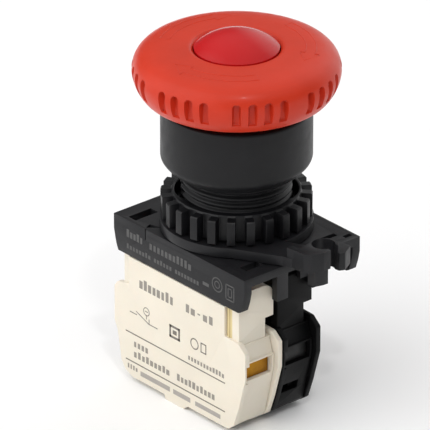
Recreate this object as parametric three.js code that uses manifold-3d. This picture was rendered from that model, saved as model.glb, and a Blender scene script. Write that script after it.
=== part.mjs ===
// Illuminated emergency stop button for a 22 mm panel hole, with one switch block and one lamp block.
// Millimetres, +Z out of the front of the panel. The origin is on the axis, on the face of the panel.
// X runs across the row of blocks, Y along each block, from one wire terminal to the other.
import * as THREE from "three";
import { mergeVertices } from "three/addons/utils/BufferGeometryUtils.js";
import ManifoldModule from "manifold-3d";

const manifoldLibrary = await ManifoldModule();
manifoldLibrary.setup();
const { Manifold, Mesh: ManifoldMesh } = manifoldLibrary;

// ---------------------------------------------------------------- driving dimensions
const ROUND = 48;                 // facets around the head
const FINE = 32;                  // facets around the other round pieces
const SMALL = 14;                 // facets around screws and holes
const GAP = 0.3;                  // air left between neighbouring pieces

const HEAD_R = 20.5;              // a 41 mm mushroom
const HEAD_LIP_Z = 15.3;
const HEAD_WIDE_Z = 21.0;
const HEAD_TOP_Z = 25.7;
const HEAD_HOLLOW_R = 15.9;
const HEAD_CEILING_Z = 18.6;
const BOSS_R = 10.2;
const BOSS_BOTTOM_Z = 14.9;
const NOTCH_STEP_DEG = 9;         // forty grip positions, every fifth one left plain
const NOTCH_FIRST_DEG = -140;     // direction of one plain position
const NOTCH_GROUP = 5;
const NOTCH_R = 1.05;
const NOTCH_CENTRE_R = 20.5;
const NOTCH_LOW_Z = 18.2;
const NOTCH_HIGH_Z = 21.6;

const LENS_R = 8.45;
const LENS_BASE_Z = 23.6;
const LENS_EDGE_Z = 25.6;
const LENS_RISE = 3.1;
const RECESS_R = 9.1;
const LEDGE_R = 7.2;              // the ledge in the head that the lens rests on
const CLIP_Z = 20.8;
const CLIP_THICK = 0.7;
const CLIP_OUTER_R = 6.75;
const CLIP_INNER_R = 5.5;
const CLIP_OPEN_DEG = 25;         // half of the gap in the clip's ring

const STEM_R = 6.0;
const STEM_BORE_R = 4.6;
const STEM_TOP_Z = 22.2;
const STEM_FLANGE_R = 9.6;
const STEM_FLANGE_Z = 12.9;
const PIPE_R = 4.2;
const PIPE_BOTTOM_Z = -4.0;
const CAM_BOTTOM_Z = -8.0;
const CAM_TOP_Z = -3.0;
const CAM_R = 7.4;
const CAM_LUG_R = 8.5;
const RETURN_COIL = { radius: 8.2, wire: 0.45, turns: 5 };

const BEZEL_R = 15.0;
const BEZEL_TOP_Z = 13.55;
const BEZEL_TAPER_Z = 2.15;
const BEZEL_SEAT_R = 12.9;
const CUP_R = 13.0;
const CUP_FLOOR_Z = 3.0;
const WEB_BOTTOM_Z = 1.0;
const GASKET_R = 12.1;
const SEAL_R = 7.3;
const SEAL_HEIGHT = 1.3;
const CAP_HEIGHT = 1.4;
const NECK_R = 11.0;              // the neck of a 22 mm button
const NECK_BORE_R = 8.9;
const NECK_BOTTOM_Z = -14.65;
const THREAD_PITCH = 1.5;
const THREAD_DEPTH = 0.65;
const THREAD_TURNS = 8;

const NUT_TOP_Z = -5.0;
const NUT_HEIGHT = 5.5;
const NUT_BORE_R = 11.15;
const NUT_ROOT_R = 12.8;
const NUT_TIP_R = 15.0;
const NUT_TEETH = 24;

const LEVER_TOP_Z = -10.85;
const LEVER_BOTTOM_Z = -12.85;
const LEVER_R = 15.2;
const TAB_TOP_Z = -8.85;
const TAB_BOTTOM_Z = -12.85;
const TOE_BOTTOM_Z = -15.9;
const LUG_BOTTOM_Z = -14.6;
const EYE_R = 2.3;                // the hook's round eye in the lever's tab
const EYE_PLACE = [1.5, -24.1];

const BASE_HALF_X = 15.0;
const BASE_HALF_Y = 19.7;
const BASE_TOP_Z = -13.15;
const BASE_PLATE = 1.8;
const BASE_BOTTOM_Z = -20.8;
const BASE_WALL = 2.0;
const SLOT_HALF = [2.15, 1.1];
const SLOT_Y = 15.6;
const LEG_HALF_X = 1.8;
const LEG_Y = [17.8, 19.3];

const PUSHER_TOP_Z = -15.2;
const PUSHER_THICK = 1.15;
const PUSHER_HALF = [12.1, 3.6];

const BLOCK_STEP = 10.0;          // spacing of the block places along X
const BLOCK_HALF = 4.85;
const BLOCK_SKIN = 1.15;
const BLOCK_TOP_Z = -21.1;
const BLOCK_BOTTOM_Z = -47.6;
const BLOCK_HALF_Y = 19.8;
const CHAMBER = { halfY: 7.4, low: -45.4, high: -22.6 };
const ROOM = { start: 10, end: 17.2, right: 2.6, low: -37.4, high: -30.2 };
const MOUTH = { low: -36.2, high: -32.2 };
const WINDOW = { start: 16.4, left: -3.2, right: 1.2, low: -43.0, high: -41.0 };
const NECK_RECESS = { start: 12.6, low: -28.6 };
const HOOK_TOP_Z = -18.2;
const TONGUE = { left: -4.3, upperLeft: -2.6, right: 4.55, near: 15.3, far: 17.3, top: -17.4 };

const TERMINAL_X = -0.6;          // middle of the wire terminals, measured from the middle of a block
const STRIP_TOP_Z = -31.4;
const STRIP_THICK = 0.8;
const STRIP_HALF_X = 2.0;
const STRIP_END_Y = 17.0;
const CLAMP = { halfX: 2.7, halfY: 2.9, low: -35.1, high: -34.2 };
const SCREW_Y = 13.2;
const SCREW_HEAD_R = 2.5;
const SCREW_R = 1.5;
const SCREW_BOTTOM_Z = -37.1;
const SCREW_HEAD_Z = -35.4;
const SCREW_TIP_Z = -30.5;
const SCREW_SLOT_HALF = 0.4;
const PAD_R = 1.3;
const PAD_Y = 4.4;
const ROD_HALF = 1.7;
const ROD_BOTTOM_Z = -32.2;
const BRIDGE = { halfX: 1.6, halfY: 5.8, low: -34.1, high: -33.4 };
const SPIGOT_R = 1.0;
const CONTACT_COIL = { radius: 1.85, wire: 0.3, turns: 8 };
const BOARD = { left: -0.4, right: 0.8, halfY: 4.4, low: -42.5, high: -23.9 };
const RESISTOR_ZS = [-27, -30, -37];
const BULB = { radius: 2.5, flange: 3.2, low: -23.7, high: -10.3 };
const SIDES = [-1, 1];

// ---------------------------------------------------------------- colours
const PLASTIC = { roughness: 0.5, metalness: 0.0 };
const METAL = { roughness: 0.35, metalness: 1.0 };
const RED = [0.78, 0.09, 0.05];
const LENS_RED = [0.5, 0.01, 0.01];
const CLEAR = [0.86, 0.88, 0.88];
const BLACK = [0.025, 0.027, 0.03];
const DARK = [0.05, 0.05, 0.055];
const CREAM = [0.86, 0.83, 0.74];
const RUBBER = [0.03, 0.03, 0.03];
const BRASS = [0.75, 0.56, 0.25];
const STEEL = [0.62, 0.62, 0.62];
const GREEN = [0.05, 0.22, 0.1];
const NATURAL = [0.75, 0.72, 0.62];

// ---------------------------------------------------------------- solid helpers
function toSolid(geometry) {
  const bare = new THREE.BufferGeometry();
  bare.setAttribute("position", geometry.getAttribute("position"));
  if (geometry.index) {
    bare.setIndex(geometry.index);
  }
  const welded = mergeVertices(bare, 1e-4);
  const mesh = new ManifoldMesh({
    numProp: 3,
    vertProperties: new Float32Array(welded.getAttribute("position").array),
    triVerts: new Uint32Array(welded.index.array),
  });
  mesh.merge();
  return new Manifold(mesh);
}

function toGeometry(solid) {
  const mesh = solid.getMesh();
  const geometry = new THREE.BufferGeometry();
  geometry.setAttribute("position", new THREE.BufferAttribute(new Float32Array(mesh.vertProperties), 3));
  geometry.setIndex(new THREE.BufferAttribute(new Uint32Array(mesh.triVerts), 1));
  return geometry;
}

function join(...solids) {
  return solids.reduce((sum, solid) => sum.add(solid));
}

function cut(solid, ...tools) {
  return tools.reduce((rest, tool) => rest.subtract(tool), solid);
}

function signedArea(points) {
  let area = 0;
  for (let i = 0; i < points.length; i += 1) {
    const [x0, y0] = points[i];
    const [x1, y1] = points[(i + 1) % points.length];
    area += x0 * y1 - x1 * y0;
  }
  return area / 2;
}

// A solid of revolution about Z. The outline is a list of [radius, height] corners, in either direction.
function turned(outline, facets) {
  const points = signedArea(outline) > 0 ? outline.slice() : outline.slice().reverse();
  const start = points.findIndex((point, i) => {
    const before = points[(i + points.length - 1) % points.length];
    return point[0] === 0 && before[0] === 0;
  });
  const fromAxis = points.slice(start).concat(points.slice(0, start));
  const ordered = start >= 0 ? fromAxis : points.concat([points[0]]);
  const geometry = new THREE.LatheGeometry(ordered.map(([r, z]) => new THREE.Vector2(r, z)), facets);
  geometry.rotateX(Math.PI / 2);
  return toSolid(geometry);
}

function disc(radius, low, high, facets = SMALL) {
  return turned([[0, low], [radius, low], [radius, high], [0, high]], facets);
}

function tube(inner, outer, low, high, facets = FINE) {
  return turned([[inner, low], [outer, low], [outer, high], [inner, high]], facets);
}

function thick(points, low, high) {
  const shape = new THREE.Shape(points.map(([x, y]) => new THREE.Vector2(x, y)));
  const geometry = new THREE.ExtrudeGeometry(shape, { depth: high - low, bevelEnabled: false });
  geometry.translate(0, 0, low);
  return geometry;
}

// A flat outline in X and Y, made thick along Z.
function plateZ(points, low, high) {
  return toSolid(thick(points, low, high));
}

// A flat outline in Y and Z, made thick along X.
function plateX(points, low, high) {
  const geometry = thick(points, low, high);
  const turn = new THREE.Matrix4().makeBasis(
    new THREE.Vector3(0, 1, 0),
    new THREE.Vector3(0, 0, 1),
    new THREE.Vector3(1, 0, 0),
  );
  geometry.applyMatrix4(turn);
  return toSolid(geometry);
}

function box(x0, x1, y0, y1, z0, z1) {
  return plateZ([[x0, y0], [x1, y0], [x1, y1], [x0, y1]], z0, z1);
}

function radians(degrees) {
  return (degrees * Math.PI) / 180;
}

// A stretch of Y given for the +Y end, as it is at one end of a block or of the base.
function span(side, near, far) {
  return side > 0 ? [near, far] : [-far, -near];
}

function polar(radius, degrees) {
  return [radius * Math.cos(radians(degrees)), radius * Math.sin(radians(degrees))];
}

function arc(centre, radius, fromDeg, toDeg, steps) {
  const points = [];
  for (let i = 0; i <= steps; i += 1) {
    const [x, y] = polar(radius, fromDeg + ((toDeg - fromDeg) * i) / steps);
    points.push([centre[0] + x, centre[1] + y]);
  }
  return points;
}

class Helix extends THREE.Curve {
  constructor(radius, low, high, turns) {
    super();
    this.radius = radius;
    this.low = low;
    this.high = high;
    this.turns = turns;
  }

  // The first and last turns lie nearly flat, as on a spring with closed ends.
  getPoint(t, target = new THREE.Vector3()) {
    const eased = t - Math.sin(2 * Math.PI * t) / (2 * Math.PI);
    const share = 0.45 * eased + 0.55 * t;
    const angle = 2 * Math.PI * this.turns * t;
    const height = this.low + (this.high - this.low) * share;
    return target.set(this.radius * Math.cos(angle), this.radius * Math.sin(angle), height);
  }
}

function coilSpring({ radius, wire, turns }, low, high, stepsPerTurn) {
  const path = new Helix(radius, low + wire, high - wire, turns);
  const section = new THREE.Shape(arc([0, 0], wire, 0, 300, 5).map(([x, y]) => new THREE.Vector2(x, y)));
  const geometry = new THREE.ExtrudeGeometry(section, {
    steps: Math.round(turns * stepsPerTurn),
    extrudePath: path,
    bevelEnabled: false,
  });
  return toSolid(geometry);
}

const group = new THREE.Group();
group.name = "emergency_stop_button";

function addPiece(name, solid, colour, surface) {
  const material = new THREE.MeshStandardMaterial({ ...surface });
  material.color.setRGB(colour[0], colour[1], colour[2]);
  material.name = name;
  const mesh = new THREE.Mesh(toGeometry(solid), material);
  mesh.name = name;
  group.add(mesh);
}

// ---------------------------------------------------------------- the part you press
function headOutline() {
  return [
    [HEAD_HOLLOW_R, HEAD_LIP_Z],
    [HEAD_R - 3.3, HEAD_LIP_Z],
    [HEAD_R - 2.0, HEAD_LIP_Z + 0.8],
    [HEAD_R - 1.1, HEAD_LIP_Z + 2.0],
    [HEAD_R - 0.4, HEAD_WIDE_Z - 2.3],
    [HEAD_R, HEAD_WIDE_Z - 0.8],
    [HEAD_R, HEAD_WIDE_Z + 0.5],
    [HEAD_R - 0.4, HEAD_WIDE_Z + 1.8],
    [HEAD_R - 1.1, HEAD_WIDE_Z + 2.8],
    [HEAD_R - 2.1, HEAD_WIDE_Z + 3.7],
    [HEAD_R - 3.8, HEAD_WIDE_Z + 4.3],
    [HEAD_R - 6.5, HEAD_WIDE_Z + 4.6],
    [RECESS_R + 0.6, HEAD_TOP_Z],
    [RECESS_R, HEAD_TOP_Z - 0.1],
    [LENS_R + GAP / 2, HEAD_TOP_Z - 0.5],
    [LENS_R + GAP / 2, LENS_BASE_Z - GAP],
    [LEDGE_R, LENS_BASE_Z - GAP],
    [LEDGE_R, CLIP_Z - GAP],
    [STEM_R + GAP, CLIP_Z - GAP],
    [STEM_R + GAP, BOSS_BOTTOM_Z],
    [BOSS_R, BOSS_BOTTOM_Z],
    [BOSS_R, HEAD_CEILING_Z + 1.2],
    [12.6, HEAD_CEILING_Z + 1.6],
    [HEAD_HOLLOW_R, HEAD_CEILING_Z],
  ];
}

// One grip groove: an upright round-bottomed channel with a domed upper end.
function gripTool() {
  const rise = NOTCH_R * Math.SQRT1_2;
  return turned([
    [0, NOTCH_LOW_Z - NOTCH_R * 0.5],
    [NOTCH_R * 0.85, NOTCH_LOW_Z - NOTCH_R * 0.25],
    [NOTCH_R, NOTCH_LOW_Z],
    [NOTCH_R, NOTCH_HIGH_Z],
    [rise, NOTCH_HIGH_Z + rise],
    [0, NOTCH_HIGH_Z + NOTCH_R],
  ], 7);
}

function mushroomHead() {
  const positions = Math.round(360 / NOTCH_STEP_DEG);
  const tool = gripTool();
  let head = turned(headOutline(), ROUND);
  for (let i = 0; i < positions; i += 1) {
    const plain = i % NOTCH_GROUP === 0;
    const [x, y] = polar(NOTCH_CENTRE_R, NOTCH_FIRST_DEG + i * NOTCH_STEP_DEG);
    head = plain ? head : cut(head, tool.translate([x, y, 0]));
  }
  return head;
}

function lens() {
  const sphereR = (LENS_R * LENS_R + LENS_RISE * LENS_RISE) / (2 * LENS_RISE);
  const dome = [];
  const steps = 6;
  for (let i = 0; i <= steps; i += 1) {
    const radius = LENS_R * (1 - i / steps);
    dome.push([radius, LENS_EDGE_Z - sphereR + LENS_RISE + Math.sqrt(sphereR * sphereR - radius * radius)]);
  }
  return turned([[0, LENS_BASE_Z], [LENS_R, LENS_BASE_Z], ...dome], FINE);
}

function lightPipe() {
  return turned([
    [0, PIPE_BOTTOM_Z],
    [PIPE_R - 0.5, PIPE_BOTTOM_Z],
    [PIPE_R, PIPE_BOTTOM_Z + 0.5],
    [PIPE_R, LENS_BASE_Z - GAP],
    [0, LENS_BASE_Z - GAP],
  ], 24);
}

function stemClip() {
  const outer = arc([0, 0], CLIP_OUTER_R, CLIP_OPEN_DEG, 360 - CLIP_OPEN_DEG, 24);
  const inner = arc([0, 0], CLIP_INNER_R, 360 - CLIP_OPEN_DEG, CLIP_OPEN_DEG, 24);
  return plateZ([...outer, ...inner], CLIP_Z, CLIP_Z + CLIP_THICK);
}

function plungerStem() {
  return turned([
    [STEM_BORE_R, PUSHER_TOP_Z + 0.1],
    [STEM_R, PUSHER_TOP_Z + 0.1],
    [STEM_R, STEM_FLANGE_Z - 1.0],
    [STEM_R + 0.8, STEM_FLANGE_Z],
    [STEM_FLANGE_R, STEM_FLANGE_Z],
    [STEM_FLANGE_R, BOSS_BOTTOM_Z - GAP],
    [STEM_R, BOSS_BOTTOM_Z - GAP],
    [STEM_R, CLIP_Z - 0.1],
    [CLIP_INNER_R - 0.2, CLIP_Z - 0.1],
    [CLIP_INNER_R - 0.2, CLIP_Z + CLIP_THICK + 0.1],
    [STEM_R - 0.1, CLIP_Z + CLIP_THICK + 0.1],
    [STEM_R - 0.3, STEM_TOP_Z],
    [STEM_BORE_R, STEM_TOP_Z],
  ], 28);
}

// The cam that locks the pressed head until it is turned: a sleeve with two ramped lugs.
function latchCam() {
  const sleeve = tube(STEM_R + 0.1, CAM_R, CAM_BOTTOM_Z, CAM_TOP_Z, 28);
  const lug = [...arc([0, 0], CAM_LUG_R, -35, 35, 8), ...arc([0, 0], CAM_R - 0.2, 35, -35, 8)];
  const lugSolid = plateZ(lug, CAM_BOTTOM_Z + 1.6, CAM_TOP_Z - 1.2);
  return join(sleeve, lugSolid, lugSolid.rotate([0, 0, 180]));
}

function pusherPlate() {
  const [halfX, halfY] = PUSHER_HALF;
  const bottom = PUSHER_TOP_Z - PUSHER_THICK;
  const bar = box(-halfX, halfX, -halfY, halfY, bottom, PUSHER_TOP_Z);
  const hub = disc(CAM_R, bottom, PUSHER_TOP_Z, 32);
  return cut(join(bar, hub), disc(STEM_BORE_R, bottom - 1, PUSHER_TOP_Z + 1, 24));
}

function returnSpring() {
  return coilSpring(RETURN_COIL, CUP_FLOOR_Z + 0.1, STEM_FLANGE_Z - 0.1, 12);
}

// ---------------------------------------------------------------- the fixed housing in the panel
function threadOutline() {
  const points = [];
  for (let i = 0; i < THREAD_TURNS; i += 1) {
    const z = NECK_BOTTOM_Z + 1.65 + i * THREAD_PITCH;
    points.push([NECK_R, z]);
    points.push([NECK_R - THREAD_DEPTH, z + THREAD_PITCH * 0.42]);
    points.push([NECK_R, z + THREAD_PITCH * 0.84]);
  }
  return points;
}

function bezelBody() {
  return turned([
    [NECK_BORE_R, NECK_BOTTOM_Z],
    [NECK_R - 0.6, NECK_BOTTOM_Z],
    [NECK_R, NECK_BOTTOM_Z + 0.6],
    ...threadOutline(),
    [NECK_R, -0.9],
    [NECK_R - THREAD_DEPTH, -0.6],
    [NECK_R - THREAD_DEPTH, WEB_BOTTOM_Z],
    [GASKET_R + 0.2, WEB_BOTTOM_Z],
    [GASKET_R + 0.2, 0],
    [BEZEL_SEAT_R, 0],
    [BEZEL_R - 1.0, BEZEL_TAPER_Z - 1.15],
    [BEZEL_R - 0.3, BEZEL_TAPER_Z - 0.45],
    [BEZEL_R, BEZEL_TAPER_Z],
    [BEZEL_R, BEZEL_TOP_Z - 0.7],
    [BEZEL_R - 0.25, BEZEL_TOP_Z - 0.15],
    [BEZEL_R - 0.8, BEZEL_TOP_Z],
    [CUP_R, BEZEL_TOP_Z - 0.2],
    [CUP_R, CUP_FLOOR_Z],
    [STEM_R + 0.1, CUP_FLOOR_Z],
    [STEM_R + 0.1, WEB_BOTTOM_Z],
    [NECK_BORE_R, WEB_BOTTOM_Z],
  ], FINE);
}

// Rubber washer in the groove under the bezel: it seals against the front of the panel.
function panelGasket() {
  return tube(NECK_R + 0.1, GASKET_R, 0, WEB_BOTTOM_Z - 0.2, FINE);
}

function stemSeal() {
  const inner = STEM_R + 0.15;
  const low = CUP_FLOOR_Z + 0.2;
  const high = low + SEAL_HEIGHT;
  return turned([[inner, low], [SEAL_R, low], [SEAL_R, high - 0.4], [SEAL_R - 0.4, high], [inner, high]], 28);
}

function neckCap() {
  return tube(STEM_R + 0.2, NECK_BORE_R - 0.1, NECK_BOTTOM_Z, NECK_BOTTOM_Z + CAP_HEIGHT, 28);
}

function toothedOutline() {
  const points = [];
  const pitch = 360 / NUT_TEETH;
  for (let i = 0; i < NUT_TEETH; i += 1) {
    const middle = i * pitch;
    points.push(polar(NUT_ROOT_R, middle - 4.4));
    points.push(polar(NUT_TIP_R - 0.25, middle - 3.3));
    points.push(polar(NUT_TIP_R, middle - 2.3));
    points.push(polar(NUT_TIP_R, middle + 2.3));
    points.push(polar(NUT_TIP_R - 0.25, middle + 3.3));
    points.push(polar(NUT_ROOT_R, middle + 4.4));
  }
  return points;
}

function ringNut() {
  const bottom = NUT_TOP_Z - NUT_HEIGHT;
  const teeth = plateZ(toothedOutline(), bottom, NUT_TOP_Z - 0.5);
  const collar = turned([
    [0, bottom],
    [NUT_ROOT_R + 0.4, bottom],
    [NUT_ROOT_R + 0.4, NUT_TOP_Z - 0.4],
    [NUT_ROOT_R, NUT_TOP_Z],
    [0, NUT_TOP_Z],
  ], 48);
  const bore = turned([
    [0, bottom - 1],
    [NUT_BORE_R, bottom - 1],
    [NUT_BORE_R, NUT_TOP_Z - 0.5],
    [NUT_BORE_R + 0.5, NUT_TOP_Z],
    [NUT_BORE_R + 0.5, NUT_TOP_Z + 1],
    [0, NUT_TOP_Z + 1],
  ], 48);
  return cut(join(teeth, collar), bore);
}

// ---------------------------------------------------------------- the rear mounting parts
// The lever's ring turns on the neck, on top of the base, and its arm reaches past the base's end.
function lockLever() {
  const ring = disc(LEVER_R, LEVER_BOTTOM_Z, LEVER_TOP_Z, FINE);
  const arm = plateZ([
    [-11.0, -10.4], [-9.7, -12.6], [-5.3, -19.8], [-4.4, -21.6], [1.5, -21.6], [1.5, -19.4], [-1.5, -14.0],
  ], LEVER_BOTTOM_Z, LEVER_TOP_Z);
  const tab = plateZ([
    [-4.85, -20.4], [-4.3, -24.9], [-3.2, -26.2], [-0.8, -26.9], [3.0, -26.9], [4.6, -25.4], [4.4, -20.6],
  ], TAB_BOTTOM_Z, TAB_TOP_Z);
  const lug = plateZ([
    [3.0, -21.6], [3.9, -26.0], [5.0, -26.6], [7.8, -25.0], [7.4, -22.0],
  ], LUG_BOTTOM_Z, LEVER_TOP_Z);
  const toe = plateZ([
    [-3.0, -24.6], [-2.6, -26.3], [-0.8, -26.85], [0.5, -26.85], [0.5, -24.6],
  ], TOE_BOTTOM_Z, TAB_BOTTOM_Z + 1);
  const [eyeX, eyeY] = EYE_PLACE;
  const eye = disc(EYE_R, BASE_BOTTOM_Z, 0, 18).translate([eyeX, eyeY, 0]);
  const slit = plateZ([
    [eyeX - 0.6, eyeY], [1.3, -28], [3.4, -28], [eyeX + 1.9, eyeY],
  ], BASE_BOTTOM_Z, 0);
  const bore = disc(NECK_R + 0.4, BASE_BOTTOM_Z, 0, 48);
  return cut(join(ring, arm, tab, lug, toe), bore, eye, slit);
}

function baseSlots() {
  const slots = [];
  const [halfX, halfY] = SLOT_HALF;
  const slot = box(-halfX, halfX, -halfY, halfY, BASE_TOP_Z - BASE_PLATE - 1, BASE_TOP_Z + 1);
  for (const x of [-11.25, 0, 11.25]) {
    for (const side of SIDES) {
      slots.push(slot.translate([x, side * SLOT_Y, 0]));
    }
  }
  return slots;
}

// Legs that hang from both ends of the plate and grip the blocks.
function baseLegs() {
  const legs = [];
  for (const x of [-5.2, 4.8]) {
    for (const side of SIDES) {
      const [near, far] = span(side, ...LEG_Y);
      legs.push(box(x - LEG_HALF_X, x + LEG_HALF_X, near, far, BASE_BOTTOM_Z, BASE_TOP_Z - 1));
    }
  }
  return legs;
}

function mountingBase() {
  const plateLow = BASE_TOP_Z - BASE_PLATE;
  const plate = box(-BASE_HALF_X, BASE_HALF_X, -BASE_HALF_Y, BASE_HALF_Y, plateLow, BASE_TOP_Z);
  const wall = plateX([
    [-BASE_HALF_Y, BASE_TOP_Z - 0.5],
    [-BASE_HALF_Y, BASE_BOTTOM_Z + 3.4],
    [-BASE_HALF_Y + 1.3, BASE_BOTTOM_Z],
    [BASE_HALF_Y - 1.3, BASE_BOTTOM_Z],
    [BASE_HALF_Y, BASE_BOTTOM_Z + 3.4],
    [BASE_HALF_Y, BASE_TOP_Z - 0.5],
  ], 0, BASE_WALL);
  const left = wall.translate([-BASE_HALF_X, 0, 0]);
  const right = wall.translate([BASE_HALF_X - BASE_WALL, 0, 0]);
  const hole = disc(NECK_R + 0.3, BASE_BOTTOM_Z, 0, 48);
  return cut(join(plate, left, right, ...baseLegs()), hole, ...baseSlots());
}

// ---------------------------------------------------------------- the blocks behind the base
// Both blocks share this outline in Y and Z: a narrow neck under the base and a wide lower part.
function blockOutline() {
  return [
    [-13.6, BLOCK_TOP_Z],
    [-13.6, -27.5],
    [-17.8, -27.6],
    [-BLOCK_HALF_Y, -29.2],
    [-BLOCK_HALF_Y, -35.0],
    [-17.8, -42.1],
    [-16.3, -46.4],
    [-14.6, BLOCK_BOTTOM_Z],
    [-2.6, BLOCK_BOTTOM_Z],
    [-1.2, BLOCK_BOTTOM_Z - 1.0],
    [4.2, BLOCK_BOTTOM_Z - 1.0],
    [4.6, BLOCK_BOTTOM_Z],
    [14.4, BLOCK_BOTTOM_Z],
    [16.6, -46.6],
    [17.7, -45.1],
    [18.9, -38.7],
    [BLOCK_HALF_Y, -36.8],
    [BLOCK_HALF_Y, -29.2],
    [18.9, -28.0],
    [15.3, -27.2],
    [15.3, BLOCK_TOP_Z],
  ];
}

// The space cut out of a case for one wire terminal, on the side given by +1 or -1 along Y.
function terminalRoom(side) {
  const left = -BLOCK_HALF + BLOCK_SKIN;
  const far = BLOCK_HALF_Y + 2;
  const room = box(left, ROOM.right, ...span(side, ROOM.start, ROOM.end), ROOM.low, ROOM.high);
  const mouth = box(left, ROOM.right, ...span(side, ROOM.start, far), MOUTH.low, MOUTH.high);
  const besideNeck = span(side, NECK_RECESS.start, far);
  const recess = box(left, BLOCK_HALF, ...besideNeck, NECK_RECESS.low, BLOCK_TOP_Z + 1);
  const driverWay = disc(SCREW_HEAD_R + 0.5, BLOCK_BOTTOM_Z - 2, ROOM.low + 0.4, SMALL);
  const stripLow = STRIP_TOP_Z - STRIP_THICK - 0.2;
  const stripHalf = STRIP_HALF_X + 0.4;
  const stripWay = box(
    TERMINAL_X - stripHalf, TERMINAL_X + stripHalf, ...span(side, 5, 12), stripLow, STRIP_TOP_Z + 0.2,
  );
  return join(room, mouth, driverWay.translate([TERMINAL_X, side * SCREW_Y, 0]), recess, stripWay);
}

// The upright tongue at each end of a case: one upper corner is round, and a notch is cut in the same side.
function tongue(side) {
  const notchLeft = TONGUE.right - 2.1;
  const corner = TONGUE.top - 3.2;
  const outline = [
    [TONGUE.left, NECK_RECESS.low - 0.4],
    [notchLeft, NECK_RECESS.low - 0.4],
    [notchLeft, -24.5],
    [TONGUE.right, -24.5],
    [TONGUE.right, corner],
    [TONGUE.right - 0.3, corner + 1.5],
    [TONGUE.right - 1.1, corner + 2.7],
    [TONGUE.right - 2.3, TONGUE.top],
    [TONGUE.upperLeft, TONGUE.top],
    [TONGUE.upperLeft, BLOCK_TOP_Z],
    [TONGUE.left, BLOCK_TOP_Z],
  ];
  const [near, far] = span(side, TONGUE.near, TONGUE.far);
  return plateZ(outline, -far, -near).rotate([90, 0, 0]);
}

// A case is open on its +X side, where the cover closes it.
function blockCase(topHole) {
  const body = plateX(blockOutline(), -BLOCK_HALF, BLOCK_HALF - BLOCK_SKIN - GAP);
  const left = -BLOCK_HALF + BLOCK_SKIN;
  const chamber = box(left, BLOCK_HALF, -CHAMBER.halfY, CHAMBER.halfY, CHAMBER.low, CHAMBER.high);
  const shell = cut(body, chamber, terminalRoom(-1), terminalRoom(1), topHole);
  return join(shell, tongue(-1), tongue(1), ...hooks());
}

function blockCover() {
  return plateX(blockOutline(), BLOCK_HALF - BLOCK_SKIN, BLOCK_HALF);
}

function terminalHole() {
  return disc(SCREW_R + 0.25, CLAMP.low - 1, STRIP_TOP_Z + 1, SMALL);
}

function terminalStrip(side, reach) {
  const [y0, y1] = span(side, reach, STRIP_END_Y);
  const left = TERMINAL_X - STRIP_HALF_X;
  const strip = box(left, left + 2 * STRIP_HALF_X, y0, y1, STRIP_TOP_Z - STRIP_THICK, STRIP_TOP_Z);
  return cut(strip, terminalHole().translate([TERMINAL_X, side * SCREW_Y, 0]));
}

function contactStrip(side) {
  const pad = disc(PAD_R, STRIP_TOP_Z - STRIP_THICK - 0.5, STRIP_TOP_Z - 0.4);
  return join(terminalStrip(side, 3.0), pad.translate([TERMINAL_X, side * PAD_Y, 0]));
}

function clampPlate(side) {
  const plate = box(-CLAMP.halfX, CLAMP.halfX, -CLAMP.halfY, CLAMP.halfY, CLAMP.low, CLAMP.high);
  return cut(plate, terminalHole()).translate([TERMINAL_X, side * SCREW_Y, 0]);
}

function terminalScrew(side) {
  const screw = turned([
    [0, SCREW_BOTTOM_Z],
    [SCREW_HEAD_R - 0.4, SCREW_BOTTOM_Z],
    [SCREW_HEAD_R, SCREW_BOTTOM_Z + 0.4],
    [SCREW_HEAD_R, SCREW_HEAD_Z],
    [SCREW_R, SCREW_HEAD_Z],
    [SCREW_R, SCREW_TIP_Z - 0.4],
    [SCREW_R - 0.4, SCREW_TIP_Z],
    [0, SCREW_TIP_Z],
  ], SMALL);
  const low = SCREW_BOTTOM_Z - 1;
  const high = SCREW_BOTTOM_Z + 0.7;
  const slotAcross = box(-SCREW_SLOT_HALF, SCREW_SLOT_HALF, -2.7, 2.7, low, high);
  const slotAlong = box(-1.5, 1.5, -SCREW_SLOT_HALF, SCREW_SLOT_HALF, low, high);
  return cut(screw, slotAcross, slotAlong).translate([TERMINAL_X, side * SCREW_Y, 0]);
}

// The moving piece of the switch: pushed down by the pusher plate, it carries the bridge away.
function contactPlunger() {
  const top = PUSHER_TOP_Z - PUSHER_THICK - 0.1;
  const rod = box(-ROD_HALF, ROD_HALF, -ROD_HALF, ROD_HALF, ROD_BOTTOM_Z, top);
  const spigot = disc(SPIGOT_R, BRIDGE.low - 2.5, ROD_BOTTOM_Z + 0.2, 16);
  return join(rod, spigot).translate([TERMINAL_X, 0, 0]);
}

function contactBridge() {
  const strip = box(-BRIDGE.halfX, BRIDGE.halfX, -BRIDGE.halfY, BRIDGE.halfY, BRIDGE.low, BRIDGE.high);
  const pad = disc(PAD_R, BRIDGE.high - 0.2, BRIDGE.high + 0.6);
  const pads = SIDES.map((side) => pad.translate([0, side * PAD_Y, 0]));
  const hole = disc(SPIGOT_R + 0.25, BRIDGE.low - 1, BRIDGE.high + 1, 16);
  return cut(join(strip, ...pads), hole).translate([TERMINAL_X, 0, 0]);
}

function contactSpring() {
  return coilSpring(CONTACT_COIL, CHAMBER.low + 0.1, BRIDGE.low - 0.1, 8).translate([TERMINAL_X, 0, 0]);
}

// A fibreglass board with the lamp's resistors on it, standing between the two terminals.
function lampBoard() {
  const board = box(BOARD.left, BOARD.right, -BOARD.halfY, BOARD.halfY, BOARD.low, BOARD.high);
  const resistor = box(BOARD.right - 0.1, BOARD.right + 1.4, -2.6, 2.6, -0.9, 0.9);
  const parts = RESISTOR_ZS.map((z) => resistor.translate([0, 0, z]));
  return join(board, ...parts);
}

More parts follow.
